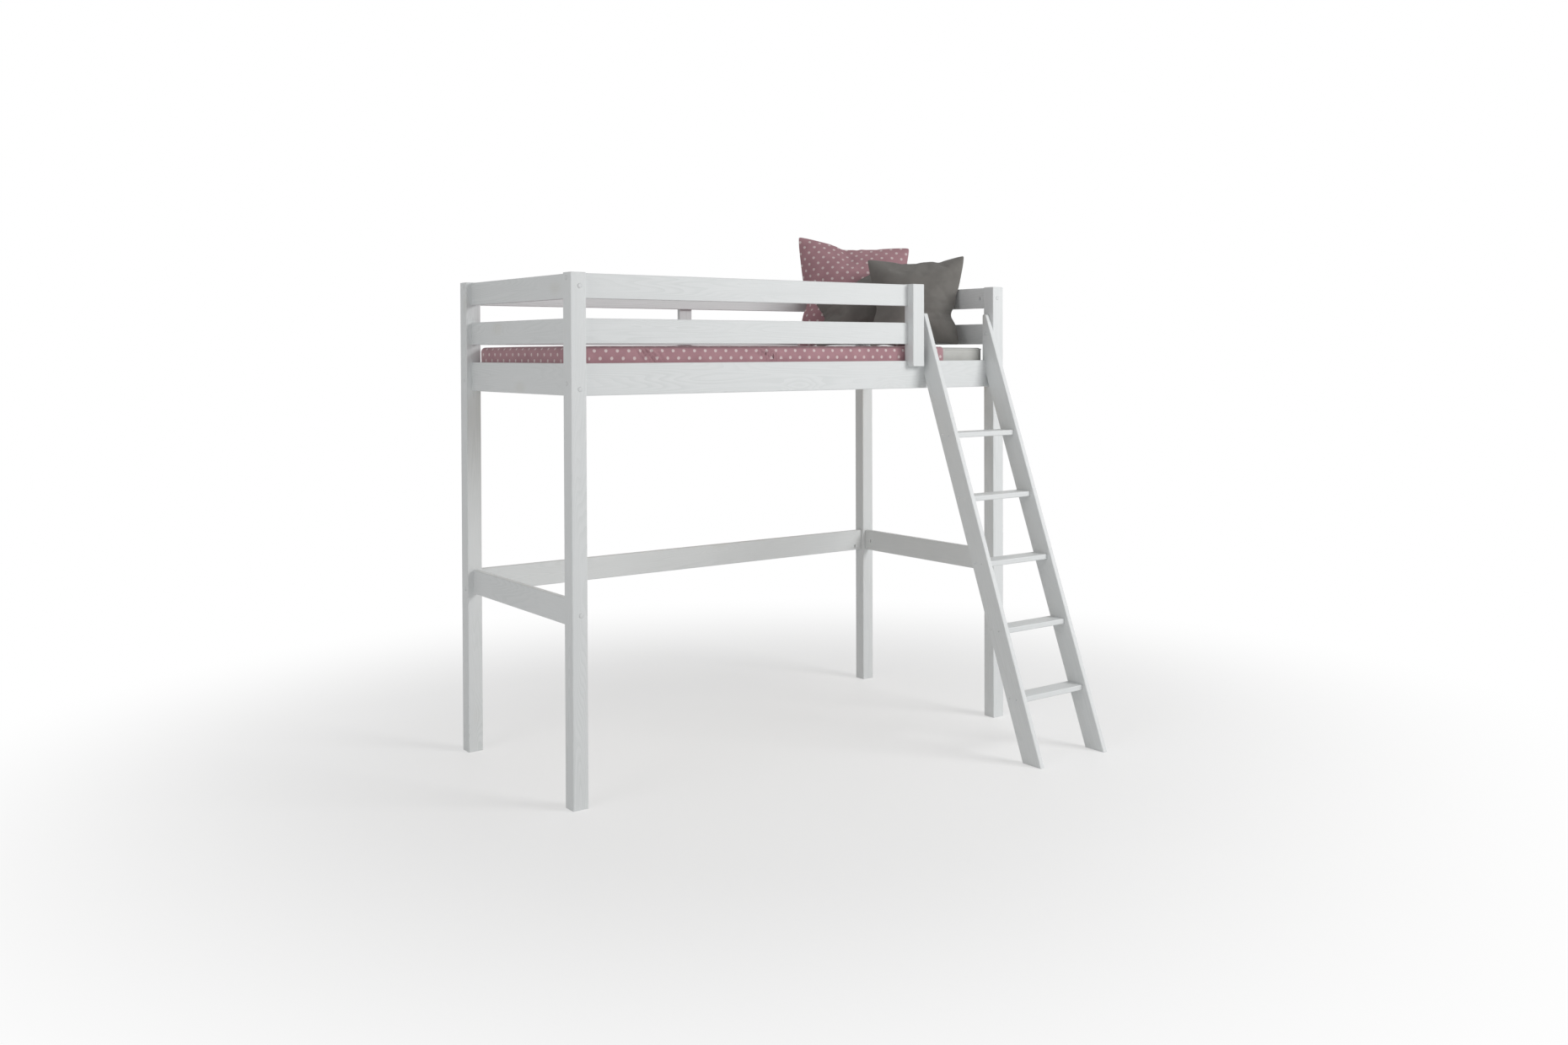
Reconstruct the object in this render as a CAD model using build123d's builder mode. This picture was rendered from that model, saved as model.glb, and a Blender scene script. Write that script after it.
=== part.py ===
"""Loft bed of painted pine: four square posts, bolted rails, a guard rail all round with a
gap for the ladder, a slatted base on ledges, and a slanting ladder that hooks over the
front side rail. It carries a mattress with a dotted cover and three loose pillows.

Millimetres, +Z up. The origin lies on the floor at the middle of the footprint. The head
end is at +X, the side with the ladder at -Y.

Every long board is made on a start plane: its sketch is the board's cross-section, local
y is up, and the extrusion runs along the board.
"""

import os
from math import atan, cos, radians, sin

from build123d import *

# Driving sizes of the frame
bed_length = 2094
bed_width = 994
post_height = 1906
post_side = 61
post_round = 4
rail_thickness = 22
rail_inset = 24
edge_chamfer = 2
guard_rail_width = 90
guard_gap = 70.5
side_rail_width = 116
crossbar_width = 96
crossbar_bottom = 644
post_cap_margin = 2
top_chamfer = 2

# Stub tenons and their mortises
tenon_length = 15
tenon_thickness = 14
tenon_shoulder = 12
mortise_side_clearance = 0.2
mortise_end_clearance = 0.5

# Bolts with square nuts in slots, under domed caps; what the caps hide has flat-sided rounds
hidden_sides = 8
bolt_radius = 3
bolt_hole_radius = 3.5
bolt_head_radius = 6
bolt_head_height = 4
counterbore_radius = 7
counterbore_depth = 6
bolt_tip_past_nut = 5
nut_side = 13
nut_thickness = 5
nut_from_shoulder = 40
nut_hole_radius = 3.1
nut_slot_clearance = 0.4
cap_radius = 8.5
cap_height = 2
cap_crown_radius = 5
cap_rim_height = 1.4

# Heights of the bolts above the bottom edge of each rail
long_guard_bolt = 73
end_guard_bolt = 43
side_rail_bolt = 44
end_rail_bolt = 24
long_crossbar_bolt = 18
end_crossbar_bolt = 45

# Guard uprights
front_guard_length = 1503
upright_width = 61
upright_depth = 57
upright_lap = 23
rear_upright_width = 61
rear_upright_thickness = 22

# Slatted base
ledge_height = 32
ledge_thickness = 22
ledge_lift = 6
ledge_end_clearance = 2
slat_count = 14
slat_width = 70
slat_thickness = 18
slat_end_clearance = 2
slat_margin = 25
tape_width = 25
tape_thickness = 1.2
tape_from_ledge = 60

# Ladder
ladder_lean_slope = 0.388
ladder_reach = 667
ladder_width = 380
stile_thickness = 22
stile_board_width = 94
stile_top = 1785
stile_top_round = 8
tread_count = 5
tread_first_top = 253
tread_pitch = 257.5
tread_thickness = 22
tread_set_back = 18
tread_depth = 82
tread_housing = 5
tread_round = 4
ladder_bolt_below_top = 85
ladder_bolt_set_back = 24
insert_radius = 5
insert_length = 14
insert_clearance = 0.1

# Bedding
mattress_gap = 8
mattress_height = 122
mattress_crown = 7
mattress_bulge = 4
mattress_edge_round = 12
mattress_corner_round = 50
plan_margin = 2
cover_thickness = 3
soft_clearance = 0.3
cover_from_head = 256
cover_drop = 105

# Pillows: corners run anticlockwise from the lower left, in shares of half the width and height
pillow_heading = 38
pillow_rings = 4
pillow_face = 0.2
pillow_crown = 0.12
seat_start = 60
seat_steps = 7
dotted_pillow_width = 540
dotted_pillow_height = 525
dotted_pillow_thickness = 150
dotted_pillow_lean = 12
dotted_pillow_pinch = 0.14
dotted_pillow_from_head = 228
dotted_pillow_from_rear = 212
dotted_pillow_corners = ((-0.92, -1), (0.95, -1), (1, 0.86), (-0.97, 1.06))
slumped_pillow_width = 470
slumped_pillow_height = 405
slumped_pillow_thickness = 140
slumped_pillow_lean = 15
slumped_pillow_pinch = 0.05
slumped_pillow_from_head = 264
slumped_pillow_from_rear = 367
slumped_pillow_corners = ((-0.97, -1), (1, -1), (0.98, 0.94), (0.04, 0.96), (-1, -0.04))
plain_pillow_width = 445
plain_pillow_height = 440
plain_pillow_thickness = 140
plain_pillow_lean = 20
plain_pillow_pinch = 0.12
plain_pillow_from_head = 201
plain_pillow_from_rear = 631
plain_pillow_corners = ((-0.88, -1), (0.84, -0.97), (1.04, 1), (-0.94, 0.94))

# Levels and lines worked out from the driving sizes
left = -bed_length / 2
right = bed_length / 2
front = (ladder_reach - bed_width) / 2
rear = front + bed_width
top_guard_bottom = post_height - post_cap_margin - guard_rail_width
low_guard_bottom = top_guard_bottom - guard_gap - guard_rail_width
side_rail_top = low_guard_bottom - guard_gap
side_rail_bottom = side_rail_top - side_rail_width
guard_top = top_guard_bottom + guard_rail_width
rail_line = rail_inset + rail_thickness / 2
front_line = front + rail_line
rear_line = rear - rail_line
left_line = left + rail_line
right_line = right - rail_line
long_span = bed_length - 2 * post_side
end_span = bed_width - 2 * post_side
upright_left = left + post_side + front_guard_length
upright_front = front + rail_inset + rail_thickness - upright_depth
slat_bottom = side_rail_bottom + ledge_lift + ledge_height
slat_top = slat_bottom + slat_thickness
bed_middle = (front + rear) / 2
mattress_length = bed_length - 2 * (rail_inset + rail_thickness + mattress_gap)
mattress_width = bed_width - 2 * (rail_inset + rail_thickness + mattress_gap)


def save(piece, name):
    """Labels a finished piece and writes it to its own file."""
    piece.label = name
    export_step(piece, f"parts/{name}.step")
    return piece


def plane_along_x(x, y, z):
    """Start plane of a board that runs towards +X; its local x is +Y."""
    return Plane(origin=(x, y, z), x_dir=(0, 1, 0), z_dir=(1, 0, 0))


def plane_along_y(x, y, z):
    """Start plane of a board that runs towards +Y; its local x is -X."""
    return Plane(origin=(x, y, z), x_dir=(-1, 0, 0), z_dir=(0, 1, 0))


def bolt_plane(point, direction):
    """Plane on the face that a bolt goes into, with z along the bolt."""
    return Plane(origin=point, z_dir=direction)


os.makedirs("parts", exist_ok=True)


# Rails with tenons at both ends
def make_rail(name, start, length, width, inside, bolt_height=None):
    """A rail between two shoulders; inside is the local x side that faces the mattress."""
    with BuildPart() as rail:
        with BuildSketch(start) as section:
            with Locations((0, width / 2)):
                Rectangle(rail_thickness, width)
            chamfer(section.vertices(), edge_chamfer)
        extrude(amount=length)
        for end, reach in ((start, -tenon_length), (start.offset(length), tenon_length)):
            with BuildSketch(end):
                with Locations((0, width / 2)):
                    Rectangle(tenon_thickness, width - 2 * tenon_shoulder)
            extrude(amount=reach)
        if bolt_height is not None:
            hole_depth = nut_from_shoulder + nut_thickness / 2 + bolt_tip_past_nut + 1
            for end, way in ((start, 1), (start.offset(length), -1)):
                with BuildSketch(end.offset(-way * tenon_length)):
                    with Locations((0, bolt_height)):
                        RegularPolygon(bolt_hole_radius, hidden_sides)
                extrude(amount=way * (tenon_length + hole_depth), mode=Mode.SUBTRACT)
                slot_middle = end.offset(way * nut_from_shoulder)
                slot_length = nut_thickness + 2 * nut_slot_clearance
                slot_height = nut_side + 2 * nut_slot_clearance
                slot_reach = rail_thickness / 2 + slot_height / 2
                with BuildSketch(slot_middle.offset(-slot_length / 2)):
                    with Locations((inside * (rail_thickness - slot_reach) / 2, bolt_height)):
                        Rectangle(slot_reach, slot_height)
                extrude(amount=slot_length, mode=Mode.SUBTRACT)
    return save(rail.part, name)


front_face_in, rear_face_in = 1, -1
left_face_in, right_face_in = -1, 1
long_start = left + post_side
end_start = front + post_side

make_rail(
    "front_side_rail", plane_along_x(long_start, front_line, side_rail_bottom),
    long_span, side_rail_width, front_face_in, side_rail_bolt,
)
make_rail(
    "rear_side_rail", plane_along_x(long_start, rear_line, side_rail_bottom),
    long_span, side_rail_width, rear_face_in, side_rail_bolt,
)
make_rail(
    "front_top_guard_rail", plane_along_x(long_start, front_line, top_guard_bottom),
    front_guard_length, guard_rail_width, front_face_in, long_guard_bolt,
)
make_rail(
    "front_low_guard_rail", plane_along_x(long_start, front_line, low_guard_bottom),
    front_guard_length, guard_rail_width, front_face_in,
)
rear_guard = make_rail(
    "rear_top_guard_rail", plane_along_x(long_start, rear_line, top_guard_bottom),
    long_span, guard_rail_width, rear_face_in, long_guard_bolt,
)
make_rail(
    "rear_low_guard_rail", plane_along_x(long_start, rear_line, low_guard_bottom),
    long_span, guard_rail_width, rear_face_in,
)
make_rail(
    "rear_crossbar", plane_along_x(long_start, rear_line, crossbar_bottom),
    long_span, crossbar_width, rear_face_in, long_crossbar_bolt,
)
for side, x, inside in (("left", left_line, left_face_in), ("right", right_line, right_face_in)):
    make_rail(
        f"{side}_end_rail", plane_along_y(x, end_start, side_rail_bottom),
        end_span, side_rail_width, inside, end_rail_bolt,
    )
    end_guard = make_rail(
        f"{side}_top_guard_rail", plane_along_y(x, end_start, top_guard_bottom),
        end_span, guard_rail_width, inside, end_guard_bolt,
    )
    make_rail(
        f"{side}_low_guard_rail", plane_along_y(x, end_start, low_guard_bottom),
        end_span, guard_rail_width, inside,
    )
    make_rail(
        f"{side}_crossbar", plane_along_y(x, end_start, crossbar_bottom),
        end_span, crossbar_width, inside, end_crossbar_bolt,
    )


# Cuts that posts and the front upright share
def cut_mortise(shoulder, bottom, width):
    """A mortise cut from a shoulder plane whose z points into the post."""
    with BuildSketch(shoulder) as mouth:
        with Locations((0, bottom + width / 2)):
            Rectangle(
                tenon_thickness + 2 * mortise_side_clearance,
                width - 2 * tenon_shoulder + 2 * mortise_side_clearance,
            )
    extrude(mouth.sketch, amount=tenon_length + mortise_end_clearance, mode=Mode.SUBTRACT)


def cut_bolt_hole(face, through):
    """A counterbored hole for a rail bolt, from the face that its head goes into."""
    with BuildSketch(face) as shank_hole:
        RegularPolygon(bolt_hole_radius, hidden_sides)
    extrude(shank_hole.sketch, amount=through, mode=Mode.SUBTRACT)
    with BuildSketch(face) as counterbore:
        RegularPolygon(counterbore_radius, hidden_sides)
    extrude(counterbore.sketch, amount=counterbore_depth, mode=Mode.SUBTRACT)


end_levels = (
    (top_guard_bottom, guard_rail_width, end_guard_bolt),
    (low_guard_bottom, guard_rail_width, None),
    (side_rail_bottom, side_rail_width, end_rail_bolt),
    (crossbar_bottom, crossbar_width, end_crossbar_bolt),
)
rear_levels = (
    (top_guard_bottom, guard_rail_width, long_guard_bolt),
    (low_guard_bottom, guard_rail_width, None),
    (side_rail_bottom, side_rail_width, side_rail_bolt),
    (crossbar_bottom, crossbar_width, long_crossbar_bolt),
)
front_left_levels = rear_levels[:3]
front_right_levels = rear_levels[2:3]
ladder_bolt_y = front + ladder_bolt_set_back
ladder_bolt_height = stile_top - ladder_bolt_below_top
long_bolts = []
end_bolts = []


def make_post(name, x_out, y_out, long_levels, ladder_bolt=False):
    """A corner post; x_out and y_out are -1 or +1, the side that it stands on."""
    x_face = right if x_out > 0 else left
    y_face = rear if y_out > 0 else front
    x_mid = x_face - x_out * post_side / 2
    y_mid = y_face - y_out * post_side / 2
    x_inner = x_face - x_out * post_side
    y_inner = y_face - y_out * post_side
    rail_y = rear_line if y_out > 0 else front_line
    rail_x = right_line if x_out > 0 else left_line
    with BuildPart() as post:
        with BuildSketch(Plane.XY) as section:
            with Locations((x_mid, y_mid)):
                Rectangle(post_side, post_side)
            fillet(section.vertices(), post_round)
        extrude(amount=post_height)
        chamfer(post.faces().sort_by(Axis.Z)[-1].edges(), top_chamfer)
        for bottom, width, bolt_height in long_levels:
            shoulder = Plane((x_inner, rail_y, 0), x_dir=(0, x_out, 0), z_dir=(x_out, 0, 0))
            cut_mortise(shoulder, bottom, width)
            if bolt_height is not None:
                head = bolt_plane((x_face, rail_y, bottom + bolt_height), (-x_out, 0, 0))
                cut_bolt_hole(head, post_side)
                long_bolts.append(head)
        for bottom, width, bolt_height in end_levels:
            shoulder = Plane((rail_x, y_inner, 0), x_dir=(-y_out, 0, 0), z_dir=(0, y_out, 0))
            cut_mortise(shoulder, bottom, width)
            if bolt_height is not None:
                head = bolt_plane((rail_x, y_face, bottom + bolt_height), (0, -y_out, 0))
                cut_bolt_hole(head, post_side)
                end_bolts.append(head)
        if ladder_bolt:
            with BuildSketch(bolt_plane((x_inner, ladder_bolt_y, ladder_bolt_height), (1, 0, 0))):
                RegularPolygon(insert_radius + insert_clearance, hidden_sides)
            extrude(amount=insert_length + insert_clearance, mode=Mode.SUBTRACT)
    return save(post.part, name)


make_post("front_left_post", -1, -1, front_left_levels)
make_post("front_right_post", 1, -1, front_right_levels, ladder_bolt=True)
make_post("rear_left_post", -1, 1, rear_levels)
make_post("rear_right_post", 1, 1, rear_levels)

# Short upright that ends the front guard rails beside the ladder
upright_middle = upright_left + upright_width / 2
upright_rear = upright_front + upright_depth
with BuildPart() as front_upright:
    with BuildSketch(Plane.XY.offset(side_rail_top - upright_lap)) as section:
        with Locations((upright_middle, (upright_front + upright_rear) / 2)):
            Rectangle(upright_width, upright_depth)
        chamfer(section.vertices(), edge_chamfer)
    extrude(amount=post_height - side_rail_top + upright_lap)
    chamfer(front_upright.faces().sort_by(Axis.Z)[-1].edges(), top_chamfer)
    with BuildSketch(Plane.XY.offset(side_rail_top - upright_lap)):
        with Locations((upright_middle, front + rail_inset)):
            Rectangle(upright_width, upright_depth, align=(Align.CENTER, Align.MIN))
    extrude(amount=upright_lap, mode=Mode.SUBTRACT)
    for bottom in (top_guard_bottom, low_guard_bottom):
        cut_mortise(
            Plane((upright_left, front_line, 0), x_dir=(0, 1, 0), z_dir=(1, 0, 0)),
            bottom, guard_rail_width,
        )
    upright_bolt = bolt_plane(
        (upright_left + upright_width, front_line, top_guard_bottom + long_guard_bolt), (-1, 0, 0)
    )
    cut_bolt_hole(upright_bolt, upright_width)
save(front_upright.part, "front_guard_upright")
long_bolts.append(upright_bolt)

# Flat upright screwed to the outer faces of the three rear rails at mid length
with BuildPart() as rear_upright:
    with BuildSketch(Plane.XY.offset(side_rail_bottom)) as section:
        with Locations((0, rear - rail_inset)):
            Rectangle(rear_upright_width, rear_upright_thickness, align=(Align.CENTER, Align.MIN))
        chamfer(section.vertices().group_by(Axis.Y)[-1], edge_chamfer)
    extrude(amount=guard_top - side_rail_bottom)
save(rear_upright.part, "rear_guard_upright")

# Ledges along the inner faces of the side rails, and the slats that lie on them
ledge_length = bed_length - 2 * post_side - 2 * ledge_end_clearance
ledge_start = left + post_side + ledge_end_clearance
inner_front = front + rail_inset + rail_thickness
inner_rear = rear - rail_inset - rail_thickness
for name, y in (
    ("front_slat_ledge", inner_front + ledge_thickness / 2),
    ("rear_slat_ledge", inner_rear - ledge_thickness / 2),
):
    with BuildPart() as ledge:
        with BuildSketch(plane_along_x(ledge_start, y, side_rail_bottom + ledge_lift)) as section:
            with Locations((0, ledge_height / 2)):
                Rectangle(ledge_thickness, ledge_height)
            chamfer(section.vertices(), edge_chamfer)
        extrude(amount=ledge_length)
    save(ledge.part, name)

slat_length = inner_rear - inner_front - 2 * slat_end_clearance
slat_first = ledge_start + slat_margin + slat_width / 2
slat_pitch = -2 * slat_first / (slat_count - 1)
for number in range(slat_count):
    x = slat_first + number * slat_pitch
    with BuildPart() as slat:
        with BuildSketch(plane_along_y(x, inner_front + slat_end_clearance, slat_bottom)) as section:
            with Locations((0, slat_thickness / 2)):
                Rectangle(slat_width, slat_thickness)
            chamfer(section.vertices(), edge_chamfer)
        extrude(amount=slat_length)
    save(slat.part, f"slat_{number + 1:02d}")

tape_length = (slat_count - 1) * slat_pitch + slat_width
with BuildPart() as tapes:
    for y in (
        inner_front + ledge_thickness + tape_from_ledge,
        inner_rear - ledge_thickness - tape_from_ledge,
    ):
        with BuildSketch(Plane.XY.offset(slat_bottom - tape_thickness)):
            with Locations((0, y)):
                Rectangle(tape_length, tape_width)
        extrude(amount=tape_thickness)
save(tapes.part, "slat_tapes")

# Ladder stiles, sawn from straight boards: flat foot, notch over the side rail, plumb back
rail_front = front + rail_inset
rail_rear = rail_front + rail_thickness
lean = atan(ladder_lean_slope)
toe = front - ladder_reach
heel = toe + stile_board_width / cos(lean)
notch_foot = (rail_front - heel) / ladder_lean_slope
stile_tip = toe + ladder_lean_slope * stile_top
ladder_right = right - post_side
ladder_left = ladder_right - ladder_width
tread_span = ladder_width - 2 * stile_thickness
tread_tops = [tread_first_top + number * tread_pitch for number in range(tread_count)]


def tread_front(top):
    """Front edge of the tread whose upper face is at this height."""
    return toe + ladder_lean_slope * top + tread_set_back


def make_stile(name, x, inner_side):
    """A stile whose -X face is at x; inner_side is +1 if the treads are on its +X side."""
    with BuildPart() as stile:
        with BuildSketch(plane_along_x(x, 0, 0)) as outline:
            with BuildLine():
                Polyline(
                    (toe, 0),
                    (heel, 0),
                    (rail_front, notch_foot),
                    (rail_front, side_rail_top),
                    (rail_rear, side_rail_top),
                    (rail_rear, stile_top),
                    (stile_tip, stile_top),
                    close=True,
                )
            make_face()
            fillet(outline.vertices().group_by(Axis.Y)[-1], stile_top_round)
        extrude(amount=stile_thickness)
        long_edges = stile.edges().filter_by(lambda edge: edge.length > stile_board_width * 2)
        chamfer(long_edges, edge_chamfer)
        housing_start = x + stile_thickness - tread_housing if inner_side > 0 else x
        for top in tread_tops:
            with BuildSketch(plane_along_x(housing_start, 0, 0)):
                with Locations((tread_front(top), top)):
                    Rectangle(tread_depth, tread_thickness, align=(Align.MIN, Align.MAX))
            extrude(amount=tread_housing, mode=Mode.SUBTRACT)
        if inner_side < 0:
            cut_bolt_hole(bolt_plane((x, ladder_bolt_y, ladder_bolt_height), (1, 0, 0)), stile_thickness)
    return save(stile.part, name)


make_stile("ladder_left_stile", ladder_left, 1)
make_stile("ladder_right_stile", ladder_right - stile_thickness, -1)

for number, top in enumerate(tread_tops, start=1):
    tread_start = ladder_left + stile_thickness - tread_housing
    with BuildPart() as tread:
        with BuildSketch(plane_along_x(tread_start, 0, 0)):
            with Locations((tread_front(top), top)):
                Rectangle(tread_depth, tread_thickness, align=(Align.MIN, Align.MAX))
        extrude(amount=tread_span + 2 * tread_housing)
        rounded = tread.edges().filter_by(Axis.X).group_by(Axis.Y)[0]
        fillet(rounded, tread_round)
    save(tread.part, f"ladder_tread_{number}")


# Bolts, nuts and caps
def add_bolt(face, shank_end):
    """A bolt whose head sits on the counterbore's floor; face has z along the bolt."""
    with BuildSketch(face.offset(counterbore_depth - bolt_head_height)) as head:
        RegularPolygon(bolt_head_radius, 6)
    extrude(head.sketch, amount=bolt_head_height)
    with BuildSketch(face.offset(counterbore_depth)) as shank:
        RegularPolygon(bolt_radius, hidden_sides)
    extrude(shank.sketch, amount=shank_end - counterbore_depth)


def add_nut(face, distance):
    """A square nut on a bolt, its middle at this distance from the bolted face."""
    with BuildSketch(face.offset(distance - nut_thickness / 2)) as square:
        Rectangle(nut_side, nut_side)
        RegularPolygon(nut_hole_radius, hidden_sides, mode=Mode.SUBTRACT)
    extrude(square.sketch, amount=nut_thickness)


def add_cap(face):
    """A low cap with a sloping crown and rim that closes the counterbore over a bolt's head."""
    profile = Plane(origin=face.origin, x_dir=face.x_dir, z_dir=face.x_dir.cross(-face.z_dir))
    with BuildSketch(profile) as half_cap:
        with BuildLine():
            Polyline(
                (0, 0), (cap_radius, 0), (cap_crown_radius, cap_rim_height), (0, cap_height), close=True
            )
        make_face()
    revolve(half_cap.sketch, axis=Axis(face.origin, face.z_dir))


nut_distance = post_side + nut_from_shoulder
shank_past_nut = nut_thickness / 2 + bolt_tip_past_nut
for name, faces in (("long_rail_bolts", long_bolts), ("end_rail_bolts", end_bolts)):
    with BuildPart() as bolts:
        for face in faces:
            add_bolt(face, nut_distance + shank_past_nut)
    save(bolts.part, name)
with BuildPart() as nuts:
    for face in long_bolts + end_bolts:
        add_nut(face, nut_distance)
save(nuts.part, "rail_nuts")

ladder_bolt_face = bolt_plane(
    (ladder_right - stile_thickness, ladder_bolt_y, ladder_bolt_height), (1, 0, 0)
)
with BuildPart() as ladder_bolt:
    add_bolt(ladder_bolt_face, stile_thickness + insert_length)
save(ladder_bolt.part, "ladder_bolt")
with BuildPart() as insert:
    with BuildSketch(ladder_bolt_face.offset(stile_thickness)):
        RegularPolygon(insert_radius, hidden_sides)
        RegularPolygon(nut_hole_radius, hidden_sides, mode=Mode.SUBTRACT)
    extrude(amount=insert_length)
save(insert.part, "ladder_insert_nut")
with BuildPart() as caps:
    for face in long_bolts + end_bolts + [ladder_bolt_face]:
        add_cap(face)
save(caps.part, "bolt_caps")


# Mattress, crowned and with soft sides, and the cover drawn over it from the foot end
seen_from_front = Plane(origin=(0, bed_middle, 0), x_dir=(1, 0, 0), z_dir=(0, -1, 0))
seen_from_right = Plane(origin=(0, bed_middle, 0), x_dir=(0, 1, 0), z_dir=(1, 0, 0))


def side_outline(plane, length, grow):
    """The mattress seen from one side: flat underneath, bulging at the ends and crowned."""
    edge = length / 2 - mattress_bulge + grow
    shoulder = slat_top + mattress_height - mattress_crown + grow
    middle = (slat_top + shoulder) / 2
    with BuildSketch(plane) as outline:
        with BuildLine():
            Line((-edge, slat_top), (edge, slat_top))
            ThreePointArc((edge, slat_top), (edge + mattress_bulge, middle), (edge, shoulder))
            ThreePointArc((edge, shoulder), (0, shoulder + mattress_crown), (-edge, shoulder))
            ThreePointArc((-edge, shoulder), (-edge - mattress_bulge, middle), (-edge, slat_top))
        make_face()
        fillet(outline.vertices().group_by(Axis.Y)[-1], mattress_edge_round)
    return outline.sketch


def mattress_form(grow):
    """The mattress's shape, made larger all round except underneath."""
    plan_length = mattress_length + 2 * (grow + plan_margin)
    plan_width = mattress_width + 2 * (grow + plan_margin)
    with BuildPart() as form:
        extrude(side_outline(seen_from_front, mattress_length, grow), amount=mattress_width, both=True)
        extrude(
            side_outline(seen_from_right, mattress_width, grow),
            amount=mattress_length, both=True, mode=Mode.INTERSECT,
        )
        with BuildSketch(Plane.XY.offset(slat_top)) as plan:
            with Locations((0, bed_middle)):
                RectangleRounded(plan_length, plan_width, mattress_corner_round + grow)
        extrude(plan.sketch, amount=2 * mattress_height, mode=Mode.INTERSECT)
    return form.part


mattress = save(mattress_form(0), "mattress")
cover_hem = slat_top + mattress_height + soft_clearance + cover_thickness - cover_drop
cover_end = mattress_length / 2 - cover_from_head
with BuildPart() as cover:
    add(mattress_form(soft_clearance + cover_thickness))
    add(mattress_form(soft_clearance), mode=Mode.SUBTRACT)
    split(bisect_by=Plane.YZ.offset(cover_end), keep=Keep.BOTTOM)
    split(bisect_by=Plane.XY.offset(cover_hem), keep=Keep.TOP)
save(cover.part, "bed_cover")


# Pillows, each drawn in between its corners, standing on the bedding and leaning back
def pillow_outline(plane, corners, sag):
    """A closed outline whose sides bow outwards by a share of half their length."""
    with BuildSketch(plane) as outline:
        with BuildLine():
            for start, end in zip(corners, corners[1:] + corners[:1]):
                outwards = (end - start).rotate(Axis.Z, -90)
                ThreePointArc(start, (start + end) / 2 + outwards * sag / 2, end)
        make_face()
    return outline.sketch


def make_pillow(plane, width, height, thickness, pinch, corners):
    """Rings of the outline shrink from the seam in the middle to a small face on each side."""
    places = [Vector(x * width / 2, y * height / 2) for x, y in corners]
    with BuildPart() as pillow:
        for way in (1, -1):
            rings = []
            for ring in range(pillow_rings + 1):
                angle = radians(90 * ring / pillow_rings)
                spread = pillow_face + (1 - pillow_face) * cos(angle) ** 1.5
                sag = pillow_crown * sin(angle) - pinch * cos(angle) ** 4
                level = plane.offset(way * sin(angle) * thickness / 2)
                rings.append(pillow_outline(level, [place * spread for place in places], sag))
            loft(rings)
    return pillow.part


def slide_to(piece, direction, supports):
    """The piece moved along a direction until it lies the soft clearance from a support."""
    for _ in range(seat_steps):
        gap = min(piece.distance_to(support) for support in supports)
        piece = piece.moved(Location(direction * (gap - soft_clearance)))
    return piece


def seat_pillow(name, leans_on, width, height, thickness, lean, pinch, from_head, from_rear, corners):
    """A pillow lowered onto the bedding, then pushed back against what it leans on."""
    back = Vector(sin(radians(pillow_heading)), cos(radians(pillow_heading)), 0)
    across = Vector(back.Y, -back.X, 0)
    facing = Vector(0, 0, sin(radians(lean))) - back * cos(radians(lean))
    x = right - rail_inset - rail_thickness - from_head
    y = inner_rear - from_rear
    start = Vector(x, y, cover_top + height / 2 + seat_start) - back * seat_start
    leaning = Plane(start, across, facing)
    pillow = make_pillow(leaning, width, height, thickness, pinch, corners)
    pillow = slide_to(pillow, -leaning.y_dir, bedding)
    pillow = slide_to(pillow, back, leans_on)
    pillow = slide_to(pillow, -leaning.y_dir, bedding)
    return save(pillow, name)


cover_top = slat_top + mattress_height + soft_clearance + cover_thickness
bedding = [mattress, cover.part]
dotted_pillow = seat_pillow(
    "dotted_pillow", [rear_guard, end_guard],
    dotted_pillow_width, dotted_pillow_height, dotted_pillow_thickness, dotted_pillow_lean,
    dotted_pillow_pinch, dotted_pillow_from_head, dotted_pillow_from_rear, dotted_pillow_corners,
)
slumped_pillow = seat_pillow(
    "slumped_pillow", [dotted_pillow, end_guard],
    slumped_pillow_width, slumped_pillow_height, slumped_pillow_thickness, slumped_pillow_lean,
    slumped_pillow_pinch, slumped_pillow_from_head, slumped_pillow_from_rear, slumped_pillow_corners,
)
seat_pillow(
    "plain_pillow", [slumped_pillow, end_guard],
    plain_pillow_width, plain_pillow_height, plain_pillow_thickness, plain_pillow_lean,
    plain_pillow_pinch, plain_pillow_from_head, plain_pillow_from_rear, plain_pillow_corners,
)
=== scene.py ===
# %% [markdown]
# A loft bed of painted pine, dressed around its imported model. The rails, posts, ladder and
# hardware come with the frame and only get their finishes here. The mattress, its cover and
# the pillows are made new, because soft things need creases, seams and weight.

# %% Load the frame
import math

import bmesh
import bpy
from mathutils import Matrix, Vector


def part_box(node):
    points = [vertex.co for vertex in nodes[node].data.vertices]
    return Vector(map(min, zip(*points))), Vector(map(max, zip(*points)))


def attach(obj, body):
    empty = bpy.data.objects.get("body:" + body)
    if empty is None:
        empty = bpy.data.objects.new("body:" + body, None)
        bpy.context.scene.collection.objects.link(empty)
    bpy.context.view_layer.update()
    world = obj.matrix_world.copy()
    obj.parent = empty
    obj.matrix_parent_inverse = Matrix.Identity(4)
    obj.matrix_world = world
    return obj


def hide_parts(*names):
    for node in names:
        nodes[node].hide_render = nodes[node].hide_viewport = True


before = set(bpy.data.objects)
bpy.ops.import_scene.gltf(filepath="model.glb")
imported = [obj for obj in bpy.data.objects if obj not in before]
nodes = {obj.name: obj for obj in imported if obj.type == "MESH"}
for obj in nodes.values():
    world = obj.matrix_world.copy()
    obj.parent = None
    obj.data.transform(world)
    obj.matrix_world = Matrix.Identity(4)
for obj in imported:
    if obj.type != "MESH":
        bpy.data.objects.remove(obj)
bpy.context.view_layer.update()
mm = 0.001
print("frame of", len(nodes), "nodes")

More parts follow.
